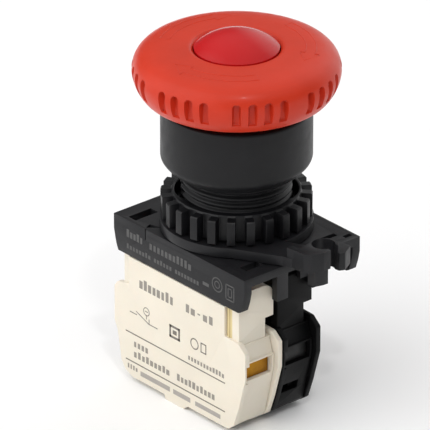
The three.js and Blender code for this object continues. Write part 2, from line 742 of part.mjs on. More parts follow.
function lampBulb() {
  return turned([
    [0, BULB.low],
    [BULB.flange, BULB.low],
    [BULB.flange, BULB.low + 0.8],
    [BULB.radius, BULB.low + 0.8],
    [BULB.radius, BULB.high - 2.7],
    [BULB.radius - 0.3, BULB.high - 1.3],
    [BULB.radius - 1.2, BULB.high - 0.3],
    [0, BULB.high],
  ], 24);
}

// A small window low in each end of the lamp block.
function latchWindow(side) {
  const [near, far] = span(side, WINDOW.start, BLOCK_HALF_Y + 2);
  return box(WINDOW.left, WINDOW.right, near, far, WINDOW.low, WINDOW.high);
}

function hooks() {
  return [-12.0, 12.6].map((y) => box(-2.0, 2.0, y - 0.7, y + 0.7, BLOCK_TOP_Z - 1, HOOK_TOP_Z));
}

// ---------------------------------------------------------------- assembly
function addOperator() {
  addPiece("mushroom_head", mushroomHead(), RED, { roughness: 0.35, metalness: 0.0 });
  addPiece("lens", lens(), LENS_RED, { roughness: 0.1, metalness: 0.0 });
  addPiece("light_pipe", lightPipe(), CLEAR, { roughness: 0.15, metalness: 0.0 });
  addPiece("stem_clip", stemClip(), STEEL, METAL);
  addPiece("plunger_stem", plungerStem(), BLACK, PLASTIC);
  addPiece("latch_cam", latchCam(), NATURAL, PLASTIC);
  addPiece("pusher_plate", pusherPlate(), NATURAL, PLASTIC);
  addPiece("return_spring", returnSpring(), STEEL, METAL);
}

function addHousing() {
  addPiece("bezel_body", bezelBody(), BLACK, PLASTIC);
  addPiece("panel_gasket", panelGasket(), RUBBER, { roughness: 0.9, metalness: 0.0 });
  addPiece("stem_seal", stemSeal(), RUBBER, { roughness: 0.9, metalness: 0.0 });
  addPiece("neck_cap", neckCap(), DARK, PLASTIC);
  addPiece("ring_nut", ringNut(), BLACK, PLASTIC);
  addPiece("lock_lever", lockLever(), DARK, PLASTIC);
  addPiece("mounting_base", mountingBase(), DARK, PLASTIC);
}

function addTerminals(prefix, x, strips) {
  const names = { [-1]: "front", 1: "rear" };
  for (const side of SIDES) {
    addPiece(`${prefix}_terminal_${names[side]}`, strips(side).translate([x, 0, 0]), BRASS, METAL);
    addPiece(`${prefix}_clamp_${names[side]}`, clampPlate(side).translate([x, 0, 0]), STEEL, METAL);
    addPiece(`${prefix}_screw_${names[side]}`, terminalScrew(side).translate([x, 0, 0]), STEEL, METAL);
  }
}

function addSwitchBlock() {
  const x = -BLOCK_STEP;
  const half = ROD_HALF + 0.4;
  const way = box(TERMINAL_X - half, TERMINAL_X + half, -half, half, CHAMBER.high - 1, BLOCK_TOP_Z + 1);
  addPiece("switch_case", blockCase(way).translate([x, 0, 0]), CREAM, PLASTIC);
  addPiece("switch_cover", blockCover().translate([x, 0, 0]), CREAM, PLASTIC);
  addPiece("contact_plunger", contactPlunger().translate([x, 0, 0]), RED, PLASTIC);
  addPiece("contact_bridge", contactBridge().translate([x, 0, 0]), BRASS, METAL);
  addPiece("contact_spring", contactSpring().translate([x, 0, 0]), STEEL, METAL);
  addTerminals("switch", x, contactStrip);
}

function addLampBlock() {
  const way = disc(BULB.radius + 0.4, CHAMBER.high - 1, BLOCK_TOP_Z + 1, 24);
  addPiece("lamp_case", cut(blockCase(way), latchWindow(-1), latchWindow(1)), DARK, PLASTIC);
  addPiece("lamp_cover", blockCover(), DARK, PLASTIC);
  addPiece("lamp_board", lampBoard(), GREEN, PLASTIC);
  addPiece("lamp_bulb", lampBulb(), CLEAR, { roughness: 0.15, metalness: 0.0 });
  addTerminals("lamp", 0, (side) => terminalStrip(side, 5.2));
}

addOperator();
addHousing();
addSwitchBlock();
addLampBlock();

export default group;
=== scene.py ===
"""The looks of the emergency stop button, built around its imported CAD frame.

Sizes are millimetres in the CAD frame. settle() scales a finished piece to metres.
"""
import math
import random

import bmesh
import bpy
from mathutils import Matrix, Vector


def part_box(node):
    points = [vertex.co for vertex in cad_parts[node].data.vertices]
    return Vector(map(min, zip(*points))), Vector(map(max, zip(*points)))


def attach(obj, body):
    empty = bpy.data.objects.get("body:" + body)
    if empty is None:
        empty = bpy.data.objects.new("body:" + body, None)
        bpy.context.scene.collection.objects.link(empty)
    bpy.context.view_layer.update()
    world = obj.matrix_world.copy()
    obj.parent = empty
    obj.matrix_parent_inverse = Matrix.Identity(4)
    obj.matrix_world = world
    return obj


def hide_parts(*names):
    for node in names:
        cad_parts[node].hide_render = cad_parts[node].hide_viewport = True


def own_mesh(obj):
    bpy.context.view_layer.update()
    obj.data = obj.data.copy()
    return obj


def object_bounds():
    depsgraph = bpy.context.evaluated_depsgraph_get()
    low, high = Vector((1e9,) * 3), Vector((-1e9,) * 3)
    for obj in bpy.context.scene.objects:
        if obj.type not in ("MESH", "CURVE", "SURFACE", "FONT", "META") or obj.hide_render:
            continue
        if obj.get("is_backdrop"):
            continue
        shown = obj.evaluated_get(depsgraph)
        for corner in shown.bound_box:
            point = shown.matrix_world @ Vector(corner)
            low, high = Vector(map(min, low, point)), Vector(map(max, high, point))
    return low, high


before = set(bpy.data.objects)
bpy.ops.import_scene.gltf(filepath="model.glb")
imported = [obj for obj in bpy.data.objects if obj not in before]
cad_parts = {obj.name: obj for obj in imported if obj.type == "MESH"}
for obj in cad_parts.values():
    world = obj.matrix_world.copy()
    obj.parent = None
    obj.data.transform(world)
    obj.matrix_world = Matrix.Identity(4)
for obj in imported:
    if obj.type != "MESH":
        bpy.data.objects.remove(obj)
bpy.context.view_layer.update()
MM = 0.001


# ------------------------------------------------------------------ the view, and places read from the frame
VIEW_AZIMUTH = -40.7              # degrees from -Y towards +X
VIEW_ELEVATION = 26.5
VIEW_DISTANCE = 1500.0
ENDS = ((-1, "front"), (1, "rear"))    # direction along Y, and the word for it


def node_box(name):
    low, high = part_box(name)
    return low / MM, high / MM


HEAD_LOW, HEAD_HIGH = node_box("mushroom_head")
LENS_LOW, LENS_HIGH = node_box("lens")
BEZEL_LOW, BEZEL_HIGH = node_box("bezel_body")
NUT_LOW, NUT_HIGH = node_box("ring_nut")
LEVER_LOW, LEVER_HIGH = node_box("lock_lever")
BASE_LOW, BASE_HIGH = node_box("mounting_base")

HEAD_R = HEAD_HIGH.x
HEAD_LIP_Z = HEAD_LOW.z + 0.4
LENS_R = LENS_HIGH.x
BEZEL_R = BEZEL_HIGH.x
NUT_TIP_R = NUT_HIGH.x


# ------------------------------------------------------------------ mesh helpers
def mesh_piece(name, verts, faces):
    mesh = bpy.data.meshes.new(name)
    mesh.from_pydata(verts, [], faces)
    mesh.validate()
    made = bmesh.new()
    made.from_mesh(mesh)
    bmesh.ops.recalc_face_normals(made, faces=made.faces)
    made.to_mesh(mesh)
    made.free()
    obj = bpy.data.objects.new(name, mesh)
    bpy.context.scene.collection.objects.link(obj)
    return obj


def prism(name, outline, low, high, along="Z"):
    """A flat outline made thick. Along Z it lies in X and Y, along X in Y and Z, and along Y in X and Z."""
    order = {"Z": (0, 1, 2), "X": (2, 0, 1), "Y": (0, 2, 1)}[along]
    count = len(outline)
    corners = [(a, b, level) for level in (low, high) for a, b in outline]
    verts = [tuple(corner[i] for i in order) for corner in corners]
    sides = [(i, (i + 1) % count, (i + 1) % count + count, i + count) for i in range(count)]
    return mesh_piece(name, verts, [tuple(range(count)), tuple(range(count, 2 * count)), *sides])


def block(name, low, high):
    corners = [(low[0], low[1]), (high[0], low[1]), (high[0], high[1]), (low[0], high[1])]
    return prism(name, corners, low[2], high[2])


def end_block(name, x, end, space):
    """A block at the end given by -1 or +1. Its space: x range from x, y range outwards, z range."""
    (x_low, x_high), y_range, (z_low, z_high) = space
    y_low, y_high = sorted(end * y for y in y_range)
    return block(name, (x + x_low, y_low, z_low), (x + x_high, y_high, z_high))


def circle(radius, centre, steps):
    turns = [2 * math.pi * i / steps for i in range(steps)]
    return [(centre[0] + radius * math.cos(t), centre[1] + radius * math.sin(t)) for t in turns]


def rod(name, radius, low, high, steps, centre=(0.0, 0.0)):
    return prism(name, circle(radius, centre, steps), low, high)


def fillet(points, steps=5):
    """Rounds each corner (a, b, radius) of a closed outline whose radius isn't 0."""
    made = []
    for i, point in enumerate(points):
        here = Vector(point[:2])
        radius = point[2] if len(point) > 2 else 0.0
        if radius == 0:
            made.append(tuple(here))
            continue
        before = Vector(points[i - 1][:2]) - here
        after = Vector(points[(i + 1) % len(points)][:2]) - here
        half = before.angle(after) / 2
        reach = min(radius / math.tan(half), 0.49 * before.length, 0.49 * after.length)
        first = here + before.normalized() * reach
        last = here + after.normalized() * reach
        for k in range(steps + 1):
            t = k / steps
            made.append(tuple(first * (1 - t) ** 2 + here * 2 * t * (1 - t) + last * t ** 2))
    return made


def smooth_line(points, steps):
    """A Catmull-Rom curve through the points."""
    made = []
    for i in range(len(points) - 1):
        p = [Vector(points[max(0, min(len(points) - 1, i + k))]) for k in (-1, 0, 1, 2)]
        for k in range(steps):
            t = k / steps
            made.append(tuple(0.5 * (2 * p[1] + (p[2] - p[0]) * t
                                     + (2 * p[0] - 5 * p[1] + 4 * p[2] - p[3]) * t ** 2
                                     + (3 * p[1] - p[0] - 3 * p[2] + p[3]) * t ** 3)))
    made.append(tuple(points[-1]))
    return made


ON_AXIS = 1e-6                    # a smaller radius is on the axis


def revolved(name, profile, angles, shape=None):
    """A closed profile of (radius, z) turned about Z. shape(radius, z, degrees) may change a radius."""
    verts, rings = [], []
    for r, z in profile:
        if r < ON_AXIS:
            rings.append([len(verts)] * len(angles))
            verts.append((0.0, 0.0, z))
            continue
        ring = []
        for angle in angles:
            radius = shape(r, z, angle) if shape else r
            t = math.radians(angle)
            ring.append(len(verts))
            verts.append((radius * math.cos(t), radius * math.sin(t), z))
        rings.append(ring)
    closed_by_axis = profile[0][0] < ON_AXIS and profile[-1][0] < ON_AXIS
    faces = []
    for i in range(len(rings) - (1 if closed_by_axis else 0)):
        low, high = rings[i], rings[(i + 1) % len(rings)]
        for k in range(len(angles)):
            n = (k + 1) % len(angles)
            corners = list(dict.fromkeys([low[k], low[n], high[n], high[k]]))
            if len(corners) > 2:
                faces.append(corners)
    return mesh_piece(name, verts, faces)


def even_angles(count):
    return [360.0 * i / count for i in range(count)]


def bake(obj):
    """Replaces the mesh by what its modifiers make of it."""
    bpy.context.view_layer.update()
    depsgraph = bpy.context.evaluated_depsgraph_get()
    mesh = bpy.data.meshes.new_from_object(obj.evaluated_get(depsgraph))
    obj.modifiers.clear()
    obj.data = mesh


def combine(obj, tools, operation):
    for tool in tools:
        step = obj.modifiers.new("combine", "BOOLEAN")
        step.operation = operation
        step.solver = "EXACT"
        step.object = tool
        bake(obj)
        bpy.data.objects.remove(tool)


def join(obj, *tools):
    combine(obj, tools, "UNION")


def cut(obj, *tools):
    combine(obj, tools, "DIFFERENCE")


def ease(obj, width, segments, angle):
    """Rounds the edges that are sharper than the angle, as a mould does."""
    step = obj.modifiers.new("edges", "BEVEL")
    step.width = width
    step.segments = segments
    step.limit_method = "ANGLE"
    step.angle_limit = math.radians(angle)
    step.miter_outer = "MITER_ARC"
    bake(obj)


def settle(obj, body, material, sharp, stands_for=()):
    """Finishes a piece: metres, shading, material, the body it rides on and the CAD nodes it replaces."""
    mesh = obj.data
    mesh.transform(Matrix.Scale(MM, 4))
    mesh.shade_smooth()
    mesh.set_sharp_from_angle(angle=math.radians(sharp))
    mesh.materials.clear()
    mesh.materials.append(material)
    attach(obj, body)
    if stands_for:
        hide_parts(*stands_for)


# ------------------------------------------------------------------ materials
class Nodes:
    """Short words for building one material's node tree."""

    def __init__(self, name):
        self.material = bpy.data.materials.new(name)
        self.material.use_nodes = True
        self.tree = self.material.node_tree
        self.shader = self.tree.nodes["Principled BSDF"]
        self.place = self.add("ShaderNodeTexCoord").outputs["Object"]

    def add(self, kind, **values):
        node = self.tree.nodes.new(kind)
        for key, value in values.items():
            setattr(node, key, value)
        return node

    def link(self, source, socket):
        self.tree.links.new(source, socket)

    def noise(self, scale, detail, rough=0.5):
        node = self.add("ShaderNodeTexNoise")
        node.inputs["Scale"].default_value = scale
        node.inputs["Detail"].default_value = detail
        node.inputs["Roughness"].default_value = rough
        self.link(self.place, node.inputs["Vector"])
        return node.outputs["Fac"]

    def feed(self, socket, source):
        """Links a source to the shader's input of that name."""
        self.link(source, self.shader.inputs[socket])

    def fix(self, socket, value):
        """Gives the shader's input of that name a value."""
        self.shader.inputs[socket].default_value = value

    def ramp(self, source, low, high, to_low, to_high):
        node = self.add("ShaderNodeMapRange")
        node.inputs["From Min"].default_value = low
        node.inputs["From Max"].default_value = high
        node.inputs["To Min"].default_value = to_low
        node.inputs["To Max"].default_value = to_high
        self.link(source, node.inputs["Value"])
        return node.outputs["Result"]

    def clouds(self, scale, detail, low, high, rough=0.5):
        """Noise that is spread out between low and high."""
        return self.ramp(self.noise(scale, detail, rough), 0.3, 0.7, low, high)

    def blend(self, factor, first, second):
        node = self.add("ShaderNodeMix", data_type="RGBA")
        self.link(factor, node.inputs["Factor"])
        for value, socket in ((first, node.inputs["A"]), (second, node.inputs["B"])):
            if isinstance(value, tuple):
                socket.default_value = (*value, 1.0)
            else:
                self.link(value, socket)
        return node.outputs["Result"]

    def edges(self, reach, strength):
        """Up to strength along sharp edges and 0 elsewhere: a mask for edge wear and for a painted highlight
        along the edges.
        """
        bevel = self.add("ShaderNodeBevel", samples=4)
        bevel.inputs["Radius"].default_value = reach * MM
        normal = self.add("ShaderNodeNewGeometry").outputs["Normal"]
        dot = self.add("ShaderNodeVectorMath", operation="DOT_PRODUCT")
        self.link(bevel.outputs["Normal"], dot.inputs[0])
        self.link(normal, dot.inputs[1])
        flat, bent = 0.995, 0.86
        return self.ramp(dot.outputs["Value"], flat, bent, 0.0, strength)

    def bump(self, heights):
        """heights: (source, height in millimetres) pairs, laid one on the other."""
        normal = None
        for source, depth in heights:
            node = self.add("ShaderNodeBump")
            node.inputs["Strength"].default_value = 1.0
            node.inputs["Distance"].default_value = depth * MM
            self.link(source, node.inputs["Height"])
            if normal:
                self.link(normal, node.inputs["Normal"])
            normal = node.outputs["Normal"]
        self.feed("Normal", normal)


def moulded(name, colour, rough, grain=0.012, tint=0.06, edge_wear_and_highlight=0.25, coat=0.0, specular=0.5, soft=0.0):
    """Moulded plastic: slight colour drift, uneven gloss, a fine mould grain, and paler edges that are
    partly wear and partly a painted highlight.
    """
    made = Nodes(name)
    darker = tuple(c * (1 - tint) for c in colour)
    lighter = tuple(min(1.0, c * (1 + tint)) for c in colour)
    pale = tuple(min(1.0, c * 1.25 + 0.03) for c in colour)
    body = made.blend(made.clouds(160, 4, 0.0, 1.0), darker, lighter)
    # paler along sharp edges: partly edge wear, partly a painted highlight
    made.feed("Base Color", made.blend(made.edges(0.22, edge_wear_and_highlight), body, pale))
    made.feed("Roughness", made.clouds(420, 5, rough - 0.05, rough + 0.07, 0.6))
    made.bump([(made.noise(5200, 3, 0.6), grain), (made.noise(700, 2), grain * 0.8)])
    made.fix("Specular IOR Level", specular)
    made.fix("Coat Weight", coat)
    made.fix("Coat Roughness", 0.12)
    if soft > 0:
        made.fix("Subsurface Weight", soft)
        made.fix("Subsurface Radius", (0.9, 0.5, 0.3))
        made.fix("Subsurface Scale", 0.9 * MM)
    return made.material


def metal(name, colour, rough):
    """Plated or rolled metal: uneven in tone, with a cloudy gloss and a fine grain."""
    made = Nodes(name)
    dull = tuple(c * 0.78 for c in colour)
    made.feed("Base Color", made.blend(made.clouds(500, 4, 0.0, 1.0), dull, colour))
    made.feed("Roughness", made.clouds(900, 3, rough - 0.08, rough + 0.1))
    made.fix("Metallic", 1.0)
    made.bump([(made.noise(4000, 2), 0.006)])
    return made.material


def tinted_lens(name, deep, painted_lit_top):
    """Coloured plastic with a slight cloud and a polished skin, and painted light that makes it brighter
    towards its top.
    """
    made = Nodes(name)
    split = made.add("ShaderNodeSeparateXYZ")
    made.link(made.place, split.inputs[0])
    # painted light: the colour runs from the deep tone at the lens's foot to the brighter one at its top
    height = made.ramp(split.outputs["Z"], LENS_LOW.z * MM, LENS_HIGH.z * MM, 0.0, 1.0)
    cloud = made.ramp(made.noise(240, 3), 0.35, 0.65, -0.06, 0.06)
    both = made.add("ShaderNodeMath", operation="ADD", use_clamp=True)
    made.link(height, both.inputs[0])
    made.link(cloud, both.inputs[1])
    made.feed("Base Color", made.blend(both.outputs[0], deep, painted_lit_top))
    made.feed("Roughness", made.clouds(600, 3, 0.08, 0.16))
    made.bump([(made.noise(900, 2), 0.002)])
    made.fix("Transmission Weight", 0.12)
    made.fix("IOR", 1.49)
    made.fix("Specular IOR Level", 0.16)
    made.fix("Coat Weight", 0.08)
    made.fix("Coat Roughness", 0.05)
    return made.material


def printed_ink(name, colour, rough):
    """Laser or pad printing: slightly broken and uneven in tone."""
    made = Nodes(name)
    worn = made.ramp(made.noise(2600, 3, 0.7), 0.35, 0.75, 0.0, 1.0)
    faded = tuple(c * 0.8 + 0.04 for c in colour)
    made.feed("Base Color", made.blend(worn, colour, faded))
    made.feed("Roughness", made.clouds(1200, 3, rough - 0.06, rough + 0.08))
    made.bump([(made.noise(4200, 2), 0.006)])
    return made.material


RED = moulded("red_plastic", (0.56, 0.034, 0.012), 0.34,
              grain=0.004, tint=0.04, edge_wear_and_highlight=0.04, coat=0.05, specular=0.2)
# the lens's deep colour, and the brighter colour painted on its top as light
LENS_RED = tinted_lens("red_lens", (0.52, 0.006, 0.008), (0.56, 0.009, 0.011))
BLACK = moulded("black_plastic", (0.008, 0.008, 0.009), 0.42,
                grain=0.010, tint=0.12, edge_wear_and_highlight=0.2, specular=0.22)
# a darker black than the bezel's, as painted shade that deepens the gaps between the teeth; it darkens the
# whole nut
NUT_BLACK = moulded("nut_plastic", (0.006, 0.006, 0.007), 0.34,
                    grain=0.010, tint=0.14, edge_wear_and_highlight=0.35, specular=0.25)
BASE_BLACK = moulded("base_plastic", (0.011, 0.011, 0.0125), 0.42,
                     grain=0.014, tint=0.12, edge_wear_and_highlight=0.25, specular=0.25)
LAMP_BLACK = moulded("lamp_block_plastic", (0.003, 0.003, 0.0033), 0.42,
                     grain=0.014, tint=0.12, edge_wear_and_highlight=0.12, specular=0.13)
CREAM = moulded("cream_plastic", (0.76, 0.7, 0.59), 0.42,
                grain=0.012, tint=0.02, edge_wear_and_highlight=0.1, specular=0.3, soft=0.1)
NATURAL = moulded("natural_plastic", (0.66, 0.54, 0.28), 0.45)
ACTUATOR_RED = moulded("actuator_plastic", (0.7, 0.05, 0.03), 0.4)
RUBBER = moulded("seal_rubber", (0.016, 0.016, 0.016), 0.8, grain=0.02, edge_wear_and_highlight=0.05)
BOARD_GREEN = moulded("board_lacquer", (0.03, 0.16, 0.06), 0.3)
CLEAR = moulded("clear_plastic", (0.8, 0.82, 0.82), 0.15, grain=0.002, tint=0.02, edge_wear_and_highlight=0.0)
BRASS = metal("contact_brass", (0.42, 0.2, 0.02), 0.4)
# painted shade: a near-black metal for the lamp block's wire clamps, so its wire mouths look dark inside
SHADE_DARK_CLAMP_METAL = metal("clamp_metal_painted_shade", (0.05, 0.05, 0.05), 0.45)
STEEL = metal("screw_steel", (0.6, 0.59, 0.57), 0.3)
SPRING_STEEL = metal("spring_steel", (0.52, 0.52, 0.53), 0.25)
DARK_INK = printed_ink("dark_print", (0.17, 0.15, 0.125), 0.55)
MID_INK = printed_ink("mid_print", (0.27, 0.245, 0.21), 0.55)
PALE_INK = printed_ink("pale_print", (0.36, 0.33, 0.3), 0.55)
GREY_INK = printed_ink("grey_print", (0.055, 0.054, 0.053), 0.5)


# ------------------------------------------------------------------ mushroom head
GRIP_STEP = 9                     # degrees from groove to groove
GRIP_GROUP = 5                    # every fifth place is left plain
GRIP_PLAIN = -140                 # degrees of one plain place
GRIP_HALF_DEG = 2.35
GRIP_FLOOR_R = HEAD_R - 1.35
GRIP_LOW = HEAD_LIP_Z + 2.5
GRIP_CAP = HEAD_LIP_Z + 6.4       # where the grooves' round upper ends are centred
GRIP_RUNOUT = 0.6                 # how quickly a groove deepens above its lower end
GRIP_EDGE = 0.17
HEAD_WIDEST_Z = HEAD_LIP_Z + 6.0  # the head closes in above this
HEAD_PROFILE = (                  # radius from the widest place, height above the lip
    (-3.3, 0.0), (-2.0, 0.75), (-1.1, 1.95), (-0.45, 3.3), (-0.05, 4.8), (0.0, 6.1), (-0.35, 7.4),
    (-1.0, 8.45), (-2.0, 9.3), (-3.7, 9.95), (-6.4, 10.3), (-10.8, 10.4),
)
LENS_GAP = 0.17
LENS_SHELF_Z = 23.3
SOCKET_R, SOCKET_Z = 7.2, 20.5    # the wider upper part of the stem's hole
STEM_HOLE_R = 6.3
HUB_R = 10.2
RIM_INNER_R = 15.9


def grip_depth(z, degrees):
    """How far a point of the rim is inside a grip groove, from 0 to 1."""
    place = round((degrees - GRIP_PLAIN) / GRIP_STEP)
    if place % GRIP_GROUP == 0:
        return 0.0
    across = math.radians(degrees - GRIP_PLAIN - place * GRIP_STEP) * HEAD_R
    half = math.radians(GRIP_HALF_DEG) * HEAD_R
    outside = math.hypot(across, max(0.0, z - GRIP_CAP)) - half
    outside = max(outside, (GRIP_LOW - z) * GRIP_RUNOUT)
    t = min(1.0, max(0.0, -outside / GRIP_EDGE))
    return t * t * (3 - 2 * t)


def grooved(radius, z, degrees):
    if radius < GRIP_FLOOR_R:
        return radius
    return radius - grip_depth(z, degrees) * (radius - GRIP_FLOOR_R)


def head_surface():
    """The outer profile from the lip up to the lens recess."""
    return smooth_line([(HEAD_R + dr, HEAD_LIP_Z + dz) for dr, dz in HEAD_PROFILE], steps=7)


def head_height(radius):
    """Height of the head's upper surface at a radius."""
    line = [p for p in head_surface() if p[1] > HEAD_WIDEST_Z]
    for (r0, z0), (r1, z1) in zip(line, line[1:]):
        if r1 <= radius <= r0:
            return z0 + (z1 - z0) * (r0 - radius) / (r0 - r1)
    return line[-1][1]


def mushroom_head():
    top, lip, bottom = HEAD_HIGH.z, HEAD_LIP_Z, HEAD_LOW.z
    recess = LENS_R + LENS_GAP
    inner = fillet([
        (9.4, top, 0.0), (9.1, top - 0.08, 0.15), (recess, top - 0.5, 0.1), (recess, LENS_SHELF_Z, 0),
        (SOCKET_R, LENS_SHELF_Z, 0), (SOCKET_R, SOCKET_Z, 0), (STEM_HOLE_R, SOCKET_Z, 0),
        (STEM_HOLE_R, bottom, 0), (HUB_R, bottom, 0.4), (HUB_R, lip + 4.5, 0.5), (12.6, lip + 4.9, 0.5),
        (RIM_INNER_R, lip + 3.3, 0.4), (RIM_INNER_R, lip, 0.4),
    ], 4)
    obj = revolved("head_shell", head_surface() + inner, even_angles(720), grooved)
    settle(obj, "head", RED, 50, ["mushroom_head"])


ARROWS = 3
ARROW_TURN = VIEW_AZIMUTH - 110   # degrees of the first arrow's middle
ARROW_HALF_DEG = 36
ARROW_NECK_DEG = 22
ARROW_R = 14.5
ARROW_HALF_WIDTH = 1.0
ARROW_BARB = 0.9
ARROW_LINE_R = 0.11
ARROW_SUNK = 0.03


def arrow_outline(middle):
    """A curved arrow's outline as (radius, degrees) points; it points clockwise."""
    inside, outside = ARROW_R - ARROW_HALF_WIDTH, ARROW_R + ARROW_HALF_WIDTH
    tail, neck, tip = middle + ARROW_HALF_DEG, middle - ARROW_NECK_DEG, middle - ARROW_HALF_DEG
    steps = 16
    line = [(outside, tail + (neck - tail) * i / steps) for i in range(steps + 1)]
    line += [(outside + ARROW_BARB, neck), (ARROW_R, tip), (inside - ARROW_BARB, neck)]
    line += [(inside, neck + (tail - neck) * i / steps) for i in range(steps + 1)]
    return line


def ridge(name, points, radius):
    """A closed thread of plastic along the points."""
    count = len(points)
    steps = 8
    verts, faces = [], []
    for i in range(count):
        ahead = (Vector(points[(i + 1) % count]) - Vector(points[i - 1])).normalized()
        side = ahead.cross(Vector((0, 0, 1))).normalized()
        up = side.cross(ahead)
        for k in range(steps):
            t = 2 * math.pi * k / steps
            verts.append(tuple(Vector(points[i]) + side * radius * math.cos(t) + up * radius * math.sin(t)))
    for i in range(count):
        n = (i + 1) % count
        for k in range(steps):
            m = (k + 1) % steps
            faces.append((i * steps + k, i * steps + m, n * steps + m, n * steps + k))
    return mesh_piece(name, verts, faces)


def turn_arrows():
    """Thin raised arrows on the head, half sunk in its surface."""
    for number in range(ARROWS):
        points = []
        for radius, degrees in arrow_outline(ARROW_TURN + number * 360 / ARROWS):
            t = math.radians(degrees)
            points.append((radius * math.cos(t), radius * math.sin(t), head_height(radius) - ARROW_SUNK))
        obj = ridge(f"turn_arrow_{number + 1}", points, ARROW_LINE_R)
        settle(obj, "head", RED, 80)


LENS_SIDE = 2.0                   # height of the lens's straight side
LENS_CHAMFER = 0.3


def lens_dome():
    low, edge = LENS_LOW.z, LENS_LOW.z + LENS_SIDE
    rise = LENS_HIGH.z - edge
    sphere = (LENS_R ** 2 + rise ** 2) / (2 * rise)
    steps = 28
    dome = []
    for i in range(steps + 1):
        radius = LENS_R * math.sin(math.pi / 2 * (1 - i / steps))
        dome.append((radius, edge - sphere + rise + math.sqrt(sphere ** 2 - radius ** 2)))
    profile = [(0, low), (LENS_R - LENS_CHAMFER, low), (LENS_R, low + LENS_CHAMFER), *dome]
    obj = revolved("lens_dome", profile, even_angles(128))
    settle(obj, "head", LENS_RED, 35, ["lens"])


# ------------------------------------------------------------------ bezel, thread and nut
NECK_R = 11.0
NECK_TOP = -0.3
THREAD_PITCH = 1.5
THREAD_DEPTH = 0.62
THREAD_LOW = BEZEL_LOW.z + 0.6
THREAD_HIGH = -0.25
THREAD_ROW = 0.11                 # height between rows of points
THREAD_SHARPNESS = 1.3            # above 1, the crests are broader than the grooves
THREAD_FADE_HIGH, THREAD_FADE_LOW = 0.4, 0.6
KEYWAY_HALF_DEG = 6.0
KEYWAY_OFF_DEG = 8                # from the middle of a side to the middle of its keyway
KEYWAY_DEPTH = THREAD_DEPTH + 0.25
SIDE_ANGLES = (VIEW_AZIMUTH, VIEW_AZIMUTH + 180)


def away(degrees, centre):
    """The angle between two directions, from 0 to 180 degrees."""
    return abs((degrees - centre + 180) % 360 - 180)


def threaded(radius, z, degrees):
    """A screw thread on the neck, with a flat-bottomed keyway at each side."""
    if radius != NECK_R or not THREAD_LOW < z < THREAD_HIGH:
        return radius
    if min(away(degrees, side + KEYWAY_OFF_DEG) for side in SIDE_ANGLES) < KEYWAY_HALF_DEG:
        return NECK_R - KEYWAY_DEPTH
    phase = (z / THREAD_PITCH + degrees / 360) % 1.0
    groove = (0.5 - 0.5 * math.cos(2 * math.pi * phase)) ** THREAD_SHARPNESS
    fade = min(1.0, (THREAD_HIGH - z) / THREAD_FADE_HIGH, (z - THREAD_LOW) / THREAD_FADE_LOW)
    return NECK_R - THREAD_DEPTH * groove * max(0.0, fade)


def bezel_shell():
    low, high = BEZEL_LOW.z, BEZEL_HIGH.z
    length = NECK_TOP - THREAD_LOW
    rows = int(length / THREAD_ROW)
    neck = [(NECK_R, THREAD_LOW + length * i / rows) for i in range(rows + 1)]
    cup = fillet([
        (10.5, -0.2, 0), (10.5, 1.0, 0), (12.3, 1.0, 0), (12.3, 0, 0), (12.9, 0, 0.15),
        (13.95, 0.95, 1.2), (BEZEL_R, 2.2, 2.0), (BEZEL_R, high, 0.75), (13.05, high - 0.15, 0.5),
        (12.95, 3.0, 0.6), (6.1, 3.0, 0), (6.1, 1.0, 0), (8.9, 1.0, 0), (8.9, low, 0), (10.4, low, 0.1),
    ], 8)
    obj = revolved("bezel_shell", neck + cup, even_angles(240), threaded)
    settle(obj, "housing", BLACK, 32, ["bezel_body"])


NUT_ROOT_R = 12.8
NUT_HOLE_R = 11.15
NUT_HOLE_RIM = 0.25               # points this close to the hole's radius belong to the hole
NUT_TEETH = 24
TOOTH_PITCH = 360.0 / NUT_TEETH
TOOTH_HALF_DEG = 3.75             # at the root
TOOTH_FLANK_DEG = 0.65
TOOTH_POINTS = (-7.5, -6.2, -5.0, -4.1, -3.75, -3.1, -2.8, -1.4, 0.0, 1.4, 2.8, 3.1, 3.75, 4.1, 5.0, 6.2)
RECESS_HALF_DEG = 25.0
RECESS_DEEP = 2.4
RECESS_WIDE = 1.05                # at its middle


def nut_angles():
    return [tooth * TOOTH_PITCH + point for tooth in range(NUT_TEETH) for point in TOOTH_POINTS]


def toothed(radius, z, degrees):
    """Teeth outside, and two crescent recesses in the upper part of the hole."""
    if radius > NUT_ROOT_R:
        off = abs((degrees + TOOTH_PITCH / 2) % TOOTH_PITCH - TOOTH_PITCH / 2)
        share = min(1.0, max(0.0, (TOOTH_HALF_DEG - off) / TOOTH_FLANK_DEG))
        return NUT_ROOT_R + (radius - NUT_ROOT_R) * share
    if radius < NUT_HOLE_R + NUT_HOLE_RIM and z > NUT_HIGH.z - RECESS_DEEP:
        gap = min(away(degrees, side) for side in SIDE_ANGLES)
        if gap < RECESS_HALF_DEG:
            return radius + RECESS_WIDE * math.sqrt(1 - (gap / RECESS_HALF_DEG) ** 2)
    return radius


def nut_ring():
    low, high = NUT_LOW.z, NUT_HIGH.z
    hole, tip = NUT_HOLE_R, NUT_TIP_R
    profile = [
        (hole, low), (tip - 0.2, low), (tip, low + 0.2), (tip, high - 0.65), (tip - 0.25, high - 0.4),
        (12.95, high - 0.35), (12.9, high - 0.3), (12.7, high), (hole + 0.2, high), (hole, high - 0.2),
        (hole, high - RECESS_DEEP + 0.05), (hole - 0.01, high - RECESS_DEEP - 0.05),
    ]
    obj = revolved("nut_ring", profile, nut_angles(), toothed)
    ease(obj, 0.1, 2, 40)
    settle(obj, "nut", NUT_BLACK, 32, ["ring_nut"])


